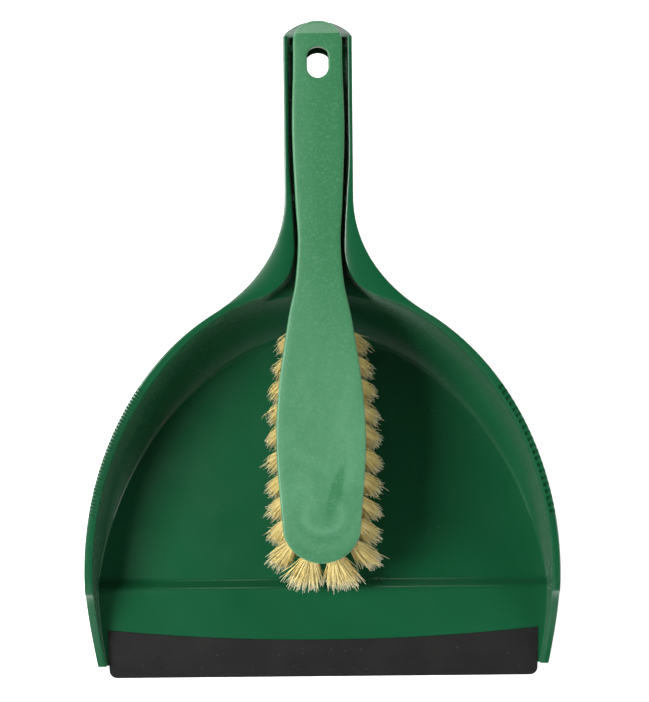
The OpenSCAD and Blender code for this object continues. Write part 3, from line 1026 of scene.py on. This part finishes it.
    def sheet(self, patches: Patchwork, under: bool) -> tuple[list[Point], list[Point]]:
        """Adds the upper or the hidden side of the moulding.

        Args:
            patches: The mesh that is being sewn.
            under: Whether it is the hidden side.

        Returns:
            The bottom of the skirt all round, and the section at the front from right to left.
        """
        floor = self.floor_rows(under)
        right = [self.column(u, under) for u in self.stations]
        back = [self.column(u, under)[:self.low + 3] for u in reversed(self.back)]
        left = [[(-x, y, z) for x, y, z in column] for column in reversed(right)]
        patches.grid(floor)
        patches.grid(right)
        patches.grid(back)
        patches.grid(left)
        patches.grid(self.channel_rows(under))
        patches.grid(self.channel_side(under))
        rim = self.rim_columns(under)
        patches.grid(rim)
        front = rim[0][::-1] + right[0][::-1] + floor[0][::-1] + left[-1] + rim[-1]
        return [column[-1] for column in rim], front

    def body(self) -> bpy.types.Object:
        """Sews the moulding as one closed shell."""
        patches = Patchwork()
        upper_skirt, upper_front = self.sheet(patches, under=False)
        lower_skirt, lower_front = self.sheet(patches, under=True)
        patches.grid([upper_skirt, lower_skirt])
        patches.grid([upper_front, lower_front])
        return patches.piece("pan_moulding", self.plan.place)

    def comb_cutters(self, side: int, pitch: float, root: float) -> list[bpy.types.Object]:
        """Makes the cutters of one comb.

        Args:
            side: 1 on the right, -1 on the left.
            pitch: Tooth pitch.
            root: Width of the rim that the grooves leave uncut at its inner edge.

        Returns:
            One bar for each groove.
        """
        plan = self.plan
        ends = [plan.edge(a) for a in (self.comb_from, self.comb_to)]
        count = round(float(np.linalg.norm(ends[1] - ends[0])) / pitch)
        length = plan.flange_w + 1
        bars = []
        for k in range(count + 1):
            u = self.comb_from + (self.comb_to - self.comb_from) * k / count
            edge, n = plan.edge(u), plan.normal(u)
            centre = edge + n * (root - plan.flange_w + length / 2)
            z = plan.rim_z(edge[1]) - self.comb_depth + self.skirt_h / 2
            spot = plan.place([side * centre[0], centre[1], z])
            turn = math.atan2(n[1], side * n[0])
            bpy.ops.mesh.primitive_cube_add(size=1, location=spot, rotation=(0, 0, turn),
                                            scale=(length * MM, pitch / 2 * MM, self.skirt_h * MM))
            bars.append(bpy.context.object)
        return bars

    def nubs(self) -> list[bpy.types.Object]:
        """Makes the snap nubs on the sides of the channel, with rounded edges."""
        plan = self.plan
        made = []
        for side in (-1, 1):
            for y in (plan.waist_y + self.nub_from_waist, plan.brush_end - self.nub_from_end):
                inner, outer = plan.brush_half(y) + self.nub_gap, plan.channel_half + plan.wall_t / 2
                spot = plan.place([side * (inner + outer) / 2, y,
                                   plan.rim_handle - self.nub_drop + self.nub_size[1] / 2])
                bpy.ops.mesh.primitive_cube_add(size=1, location=spot, scale=(
                    (outer - inner) * MM, self.nub_size[0] * MM, self.nub_size[1] * MM))
                nub = bpy.context.object
                bpy.ops.object.transform_apply(location=False, rotation=False, scale=True)
                bpy.ops.object.mode_set(mode="EDIT")
                bpy.ops.mesh.bevel(offset=self.nub_r * MM, segments=2, affect="EDGES")
                bpy.ops.object.mode_set(mode="OBJECT")
                made.append(nub)
        return made

    def build(self, lip_seat: bpy.types.Object) -> bpy.types.Object:
        """Makes the finished pan.

        Args:
            lip_seat: Cutter of the recess that the lip lies in.

        Returns:
            The piece.
        """
        plan = self.plan
        pan = self.body()
        combine(pan, lip_seat, "DIFFERENCE")
        bars = self.comb_cutters(-1, self.fine_pitch, self.fine_root)
        bars += self.comb_cutters(1, self.coarse_pitch, self.coarse_root)
        combine(pan, join(bars, "comb_cutter"), "DIFFERENCE")
        spot = plan.place([0.0, plan.brush_end - self.hang_in, plan.channel_z - 1])
        deselect_all()
        bpy.ops.mesh.primitive_cylinder_add(vertices=64, radius=self.hang_r * MM, depth=10 * MM,
                                            location=spot)
        combine(pan, bpy.context.object, "DIFFERENCE")
        for nub in self.nubs():
            combine(pan, nub, "UNION")
        shade(pan, 32)
        return dress(pan, self.finish.material(), Body.PAN, ["pan_shell"])


@dataclass
class RubberLip:
    """The rubber strip across the front of the pan, with rounded corners and a bowed back edge."""

    plan: Plan
    finish: MouldedRubber = MouldedRubber()
    length: float = 226.0
    overhang: float = 7.0
    reach_back: float = 19.0
    bow: float = 6.0
    thick: float = 1.2
    proud: float = 0.3
    edge_t: float = 0.9
    corner: float = 4.0
    columns: int = 72

    def ramp(self, y: float) -> float:
        """Height of the plain ramp, without the rounding of its ridge."""
        plan = self.plan
        slope = (plan.ridge_h - plan.ramp_edge_h) / (plan.front_len - plan.ridge_at)
        return plan.ridge_h - (-plan.ridge_at - y) * slope

    def sections(self, seat: bool) -> list[list[Point]]:
        """Closed sections of the lip, or of the recess that it lies in.

        Args:
            seat: Whether it is the recess, which is open upwards and a little larger.

        Returns:
            Rows of points, from left to right.
        """
        plan = self.plan
        half = self.length / 2 + (0.06 if seat else 0.0)
        radius = (half**2 + self.bow**2) / (2 * self.bow)
        share = np.sin(np.linspace(-90, 90, self.columns + 1) * math.pi / 180)
        rows = []
        for x in half * np.sign(share) * np.abs(share) ** 0.8:
            back = -plan.front_len + self.reach_back - self.bow + radius - math.sqrt(radius**2 - x**2)
            near = max(0.0, abs(x) - half + self.corner)
            round_off = self.corner - math.sqrt(max(self.corner**2 - near**2, 0.0))
            front = -plan.front_len - self.overhang + round_off
            step = -plan.front_len
            if seat:
                y0, y1 = -plan.front_len - 2, back + 0.06
                loop = [(y1, self.ramp(y1) + 4), (y1, self.ramp(y1) - self.thick),
                        (y0, self.ramp(y0) - self.thick), (y0, self.ramp(y0) + 4)]
            else:
                top = self.ramp(step) + self.proud
                share_out = (front + plan.front_len + self.overhang) / self.overhang
                front_z = self.edge_t + (top - self.edge_t) * share_out
                back_z = self.ramp(back) + self.proud
                loop = [(back, back_z - 0.35), (back - 0.1, back_z - 0.1), (back - 0.35, back_z),
                        (step + 0.4, self.ramp(step + 0.4) + self.proud),
                        (step - 0.4, top - 0.12), (front + 0.5, front_z), (front + 0.12, front_z - 0.15),
                        (front, front_z - 0.45), (front, 0.05), (front + 0.2, 0.0), (step - 0.25, 0.0),
                        (step - 0.25, self.ramp(step) - self.thick + 0.02),
                        (back, self.ramp(back) - self.thick + 0.02)]
            rows.append([(x, y, z) for y, z in loop])
        return rows

    def sewn(self, seat: bool, name: str) -> bpy.types.Object:
        """Sews the sections into a closed piece."""
        patches = Patchwork()
        patches.tube(self.sections(seat))
        return patches.piece(name, self.plan.place)

    def build(self) -> bpy.types.Object:
        """Makes the finished lip."""
        lip = self.sewn(seat=False, name="front_lip")
        shade(lip, 40)
        return dress(lip, self.finish.material(), Body.PAN, ["rubber_lip"])


# ---- brush ----


@dataclass
class BrushBlock:
    """Block and handle of the brush: rounded edges, a slanted end, a slot and blind holes."""

    plan: Plan
    finish: FoamPolypropylene = FoamPolypropylene()
    top: float = 64.4
    block_t: float = 18.0
    grip_t: float = 12.0
    edge_r: float = 1.1
    end_bevel: float = 7.3
    thin_from: float = 28.0
    thin_to: float = 14.0
    slot_w: float = 10.4
    slot_len: float = 15.3
    slot_r: float = 0.9
    slot_draft: float = 1.2
    hang_in: float = 22.0
    hole_d: float = 5.5
    hole_depth: float = 9.0
    across: int = 12

    def top_z(self, y: float) -> float:
        """Height of the upper face, with the slant at the end."""
        return self.top - max(0.0, y - (self.plan.brush_end - self.end_bevel))

    def low_z(self, y: float) -> float:
        """Height of the lower face, which rises from the block to the handle."""
        waist = self.plan.waist_y
        return float(np.interp(y, [waist - self.thin_from, waist - self.thin_to],
                               [self.top - self.block_t, self.top - self.grip_t]))

    def outline(self) -> np.ndarray:
        """Right half of the outline, with rows where the underside and the end change."""
        path = self.plan.brush_path()
        keys = [self.plan.waist_y - self.thin_from, self.plan.waist_y - self.thin_to,
                self.plan.brush_end - self.end_bevel]
        extra = [[float(np.interp(y, path[:, 1], path[:, 0])), y] for y in keys]
        rows = np.concatenate([path, extra])
        return rows[np.argsort(rows[:, 1])]

    def ring(self, inset: float, height: Callable[[float], float]) -> list[Point]:
        """Right half of a level of the block.

        Args:
            inset: Distance in from the outline.
            height: Height of the level at y.

        Returns:
            Points from the nose to the end.
        """
        path = self.outline()
        tangent = np.gradient(path, axis=0)
        n = np.stack([tangent[:, 1], -tangent[:, 0]], axis=1)
        n /= np.linalg.norm(n, axis=1)[:, None]
        n[0], n[-1] = (0.0, -1.0), (0.0, 1.0)
        inner = path - n * inset
        inner[:, 0] = np.maximum(inner[:, 0], 0.02)
        return [(x, y, height(y0)) for (x, y), (_, y0) in zip(inner, path)]

    def faces_across(self, ring: list[Point]) -> list[list[Point]]:
        """Rows of points across a face, between its right and its left half."""
        return [[(x * (1 - 2 * i / self.across), y, z) for i in range(self.across + 1)] for x, y, z in ring]

    def body(self) -> bpy.types.Object:
        """Sews the block and handle."""
        r = self.edge_r
        levels = [(r, lambda y: self.low_z(y)), (0.3 * r, lambda y: self.low_z(y) + 0.3 * r),
                  (0.0, lambda y: self.low_z(y) + r), (0.0, lambda y: self.top_z(y) - r),
                  (0.08 * r, lambda y: self.top_z(y) - 0.62 * r),
                  (0.3 * r, lambda y: self.top_z(y) - 0.3 * r),
                  (0.62 * r, lambda y: self.top_z(y) - 0.08 * r), (r, self.top_z)]
        rings = [self.ring(inset, height) for inset, height in levels]
        loops = [ring + [(-x, y, z) for x, y, z in reversed(ring)] for ring in rings]
        patches = Patchwork()
        patches.grid(loops, closed=True)
        patches.grid(self.faces_across(rings[0]))
        patches.grid(self.faces_across(rings[-1]))
        return patches.piece("brush_back", self.plan.place)

    def slot_cutter(self) -> bpy.types.Object:
        """Makes the cutter of the hanging slot, flared at both faces so that the slot has rounded edges."""
        plan = self.plan
        y = plan.brush_end - self.hang_in
        straight = (self.slot_len - self.slot_w) / 2
        low, high = self.top - self.grip_t, self.top
        r = self.slot_r
        levels = [(low - 1, r + 1), (low, r), (low + 0.3 * r, 0.3 * r), (low + r, 0.0), (high - r, 0.0),
                  (high - 0.62 * r, 0.08 * r), (high - 0.3 * r, 0.3 * r), (high - 0.08 * r, 0.62 * r),
                  (high, r), (high + 1, r + 1)]
        turns = np.linspace(0, 2 * math.pi, 48, endpoint=False)
        rows = []
        for z, grow in levels:
            radius = self.slot_w / 2 + grow + self.slot_draft * min(max((high - z) / (high - low), 0.0), 1.0)
            rows.append([(radius * c, y + radius * d + math.copysign(straight, d), z)
                         for c, d in ((math.cos(a), math.sin(a)) for a in turns)])
        patches = Patchwork()
        patches.tube(rows)
        return patches.piece("slot_cutter", plan.place)

    def hole_cutters(self, tufts: Sequence["TuftAxis"]) -> bpy.types.Object:
        """Makes the drills of the blind holes, each on its tuft's axis."""
        made = []
        for tuft in tufts:
            length = (self.hole_depth + 3) * MM
            middle = tuft.root + tuft.direction * length / 2
            turn = tuft.direction.to_track_quat("Z", "Y").to_euler()
            deselect_all()
            bpy.ops.mesh.primitive_cylinder_add(vertices=20, radius=self.hole_d / 2 * MM, depth=length,
                                                location=middle, rotation=turn)
            made.append(bpy.context.object)
        return join(made, "hole_cutter")

    def build(self, tufts: Sequence["TuftAxis"]) -> bpy.types.Object:
        """Makes the finished block.

        Args:
            tufts: Axes of the tufts that its holes hold.

        Returns:
            The piece.
        """
        block = self.body()
        combine(block, self.slot_cutter(), "DIFFERENCE")
        combine(block, self.hole_cutters(tufts), "DIFFERENCE")
        shade(block, 35)
        return dress(block, self.finish.material(), Body.BRUSH, ["brush_block"])


@dataclass
class TuftAxis:
    """Where a tuft stands: the middle of its root and of its tips, in metres, from its CAD solid."""

    name: str
    root: Vector
    tip: Vector

    @classmethod
    def of(cls, name: str) -> "TuftAxis":
        """Reads the axis of a CAD tuft."""
        points = np.array([v.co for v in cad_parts[name].data.vertices])
        middle = points[:, 2].mean()
        ends = [points[points[:, 2] > middle], points[points[:, 2] <= middle]]
        root, tip = (Vector(((e.min(0) + e.max(0)) / 2).tolist()) for e in ends)
        return cls(name, root, tip)

    @property
    def direction(self) -> Vector:
        """Unit vector from the root to the tips."""
        return (self.tip - self.root).normalized()


@dataclass
class TuftField:
    """All bundles of fibre: each tuft is a few hundred tapered hairs that fan out and curl a little."""

    plan: Plan
    axes: list[TuftAxis]
    finish: FlaggedFibre = FlaggedFibre()
    hairs: int = 260
    root_r: float = 1.9
    tip_r: float = 5.4
    fan_r: float = 11.5
    hair_r: float = 0.25
    rings: int = 6
    sides: int = 3
    stray: float = 0.06
    sweep_side: tuple[float, float] = (1.4, -4.6)
    sweep_nose: tuple[float, float] = (0.8, -6.4)
    clear: float = 0.7
    seed: int = 7

    def hair_lines(self, axis: TuftAxis, rng: np.random.Generator) -> np.ndarray:
        """Works out the centre lines of a tuft's hairs.

        Args:
            axis: The tuft's axis.
            rng: Seeded random source.

        Returns:
            An array of hairs by rings by coordinates, in metres.
        """
        n = self.hairs
        d = np.array(axis.direction)
        nose = float(np.clip(-d[1] / max(math.hypot(d[0], d[1]), 1e-6), 0.0, 1.0)) ** 2
        side = np.cross(d, [0.0, 1.0, 0.0])
        side /= np.linalg.norm(side)
        fore = np.cross(side, d)
        spread, turn = np.sqrt(rng.random(n)), rng.random(n) * 2 * math.pi
        across = np.stack([np.cos(turn), np.sin(turn)], axis=1) * spread[:, None]
        frame_axes = np.stack([side, fore])
        root = np.array(axis.root) + across @ frame_axes * self.root_r * MM
        loose = rng.random(n) < self.stray
        reach = self.tip_r * (1 + rng.normal(0, 0.12, n) + loose * rng.random(n) * 0.6)
        wide = np.array([1 + (self.fan_r / self.tip_r - 1) * nose, 1.0])
        tip = np.array(axis.tip) + (across * reach[:, None] * wide) @ frame_axes * MM
        tip += d * (rng.normal(0, 1.1, n) - loose * rng.random(n) * 5)[:, None] * MM
        sweep = np.array(self.sweep_side) * (1 - nose) + np.array(self.sweep_nose) * nose
        tip[:, :2] += sweep * MM
        bend = rng.normal(0, 0.7, (n, 2)) @ frame_axes * MM
        kink = rng.normal(0, 0.2, (n, self.rings, 2)) @ frame_axes * MM
        t = np.linspace(0, 1, self.rings)[None, :, None]
        lines = root[:, None] * (1 - t) + tip[:, None] * t
        lines += bend[:, None] * (4 * t * (1 - t)) + kink * t
        floor = [self.plan.floor_z(y / MM - self.plan.frame_y) for y in lines[..., 1].ravel()]
        lowest = (np.array(floor).reshape(n, self.rings) + self.clear) * MM
        lines[..., 2] = np.maximum(lines[..., 2], lowest)
        return lines

    def tuft(self, axis: TuftAxis, rng: np.random.Generator) -> bpy.types.Object:
        """Makes one tuft as a mesh of tapered hairs.

        Args:
            axis: The tuft's axis.
            rng: Seeded random source.

        Returns:
            The object, with each hair's tone and each point's share of its hair as attributes.
        """
        lines = self.hair_lines(axis, rng)
        n, rings, _ = lines.shape
        tangent = np.gradient(lines, axis=1)
        tangent /= np.linalg.norm(tangent, axis=2)[..., None]
        u = np.cross(tangent, [0.37, 0.92, 0.1])
        u /= np.linalg.norm(u, axis=2)[..., None]
        v = np.cross(tangent, u)
        run = np.linspace(0, 1, rings)
        width = self.hair_r * MM * (1 - 0.45 * run**2) * (0.8 + 0.4 * rng.random(n))[:, None]
        corners = []
        for k in range(self.sides):
            a = 2 * math.pi * k / self.sides
            corners.append(lines + width[..., None] * (math.cos(a) * u + math.sin(a) * v))
        points = np.stack(corners, axis=2).reshape(-1, 3)
        s = self.sides
        faces = []
        for h in range(n):
            base = h * rings * s
            for r in range(rings - 1):
                for k in range(s):
                    a, b = base + r * s + k, base + r * s + (k + 1) % s
                    faces.append((a, b, b + s, a + s))
            faces.append(tuple(base + (rings - 1) * s + k for k in range(s)))
            faces.append(tuple(base + k for k in reversed(range(s))))
        mesh = bpy.data.meshes.new(axis.name + "_fibre")
        mesh.from_pydata(points.tolist(), [], faces)
        tone = np.repeat(np.clip(rng.normal(0.5, 0.22, n), 0, 1), rings * s)
        for name, values in ((self.finish.tone, tone), (self.finish.run, np.tile(np.repeat(run, s), n))):
            mesh.attributes.new(name, "FLOAT", "POINT").data.foreach_set("value", values.astype(np.float32))
        mesh.shade_smooth()
        obj = bpy.data.objects.new(axis.name + "_fibre", mesh)
        bpy.context.scene.collection.objects.link(obj)
        return obj

    def build(self) -> list[bpy.types.Object]:
        """Makes every tuft."""
        rng = np.random.default_rng(self.seed)
        material = self.finish.material()
        return [dress(self.tuft(axis, rng), material, Body.BRUSH, [axis.name])
                for axis in self.axes]


# ---- studio ----


@dataclass
class Studio:
    """Plain pale floor, soft light from above and from the upper left, and the camera."""

    floor: MattFloor = MattFloor()
    floor_size: float = 8.0
    camera_at: tuple[float, float, float] = (0.0021, 0.0024, 1.1)
    roll: float = -0.53
    lens: float = 106.67
    horizon: float = 0.95
    zenith: float = 0.04
    sky_span: Pair = (0.15, 0.6)

    def light(self, name: str, at: Sequence[float], size: float, power: float, tint: str = "#ffffff") -> None:
        """Adds a square soft light that faces the middle of the object.

        Args:
            name: Name of the light.
            at: Its place, in metres.
            size: Its side, in metres.
            power: Its power, in watts.
            tint: Its colour.
        """
        data = bpy.data.lights.new(name, "AREA")
        data.size, data.energy, data.color = size, power, linear(tint)[:3]
        lamp = bpy.data.objects.new(name, data)
        lamp.location = at
        lamp.rotation_euler = (-Vector(at)).to_track_quat("-Z", "Y").to_euler()
        bpy.context.scene.collection.objects.link(lamp)

    def build(self) -> None:
        """Makes the floor, lights, world and camera."""
        deselect_all()
        bpy.ops.mesh.primitive_plane_add(size=self.floor_size, location=(0, 0, -0.0003))
        floor = bpy.context.object
        floor.name = "floor"
        floor.data.materials.append(self.floor.material())
        self.light("key_left", (-0.95, 0.0, 1.15), 0.7, 26)
        self.light("fill_right", (1.3, -0.5, 0.75), 0.8, 7)
        self.light("fill_front", (-0.3, -1.3, 1.0), 0.9, 2)
        self.light("glint_back", (0.0, 1.5, 0.45), 0.6, 6)
        world = bpy.data.worlds.new("studio")
        world.use_nodes = True
        tree = world.node_tree
        direction = add_node(tree, "ShaderNodeTexCoord").outputs["Generated"]
        level = add_node(tree, "ShaderNodeSeparateXYZ", {"Vector": direction})
        sky = add_node(tree, "ShaderNodeMapRange", {
            "Value": level.outputs["Z"], "From Min": self.sky_span[0], "From Max": self.sky_span[1],
            "To Min": self.horizon, "To Max": self.zenith}, interpolation_type="SMOOTHSTEP")
        tree.links.new(sky.outputs["Result"], tree.nodes["Background"].inputs["Strength"])
        tree.nodes["Background"].inputs["Color"].default_value = (1, 1, 1, 1)
        bpy.context.scene.world = world
        data = bpy.data.cameras.new("camera")
        data.lens, data.sensor_width, data.clip_end = self.lens, 36, 20
        camera = bpy.data.objects.new("camera", data)
        camera.location = self.camera_at
        camera.rotation_euler = (0, 0, math.radians(self.roll))
        bpy.context.scene.collection.objects.link(camera)
        bpy.context.scene.camera = camera
        bpy.context.scene.view_settings.view_transform = "Standard"


def main() -> None:
    """Builds the set piece by piece and logs how many faces each piece has."""
    logging.basicConfig(level=logging.INFO, format="%(message)s")
    Studio().build()
    plan = Plan.from_frame()
    lip = RubberLip(plan)
    for piece in (PanShell(plan).build(lip.sewn(seat=True, name="lip_seat")), lip.build()):
        log.info("%s: %d faces", piece.name, len(piece.data.polygons))
    axes = [TuftAxis.of(name) for name in sorted(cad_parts)
            if name.startswith("tuft_") and name[5:].isdigit()]
    block = BrushBlock(plan).build(axes)
    log.info("%s: %d faces", block.name, len(block.data.polygons))
    for piece in TuftField(plan, axes).build():
        log.info("%s: %d faces", piece.name, len(piece.data.polygons))
    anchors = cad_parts["tuft_anchors"]
    anchors.data.materials.clear()
    anchors.data.materials.append(DrawnSteelStrip().material())
    log.info("%s keeps its CAD shape", anchors.name)


if __name__ == "__main__":
    main()
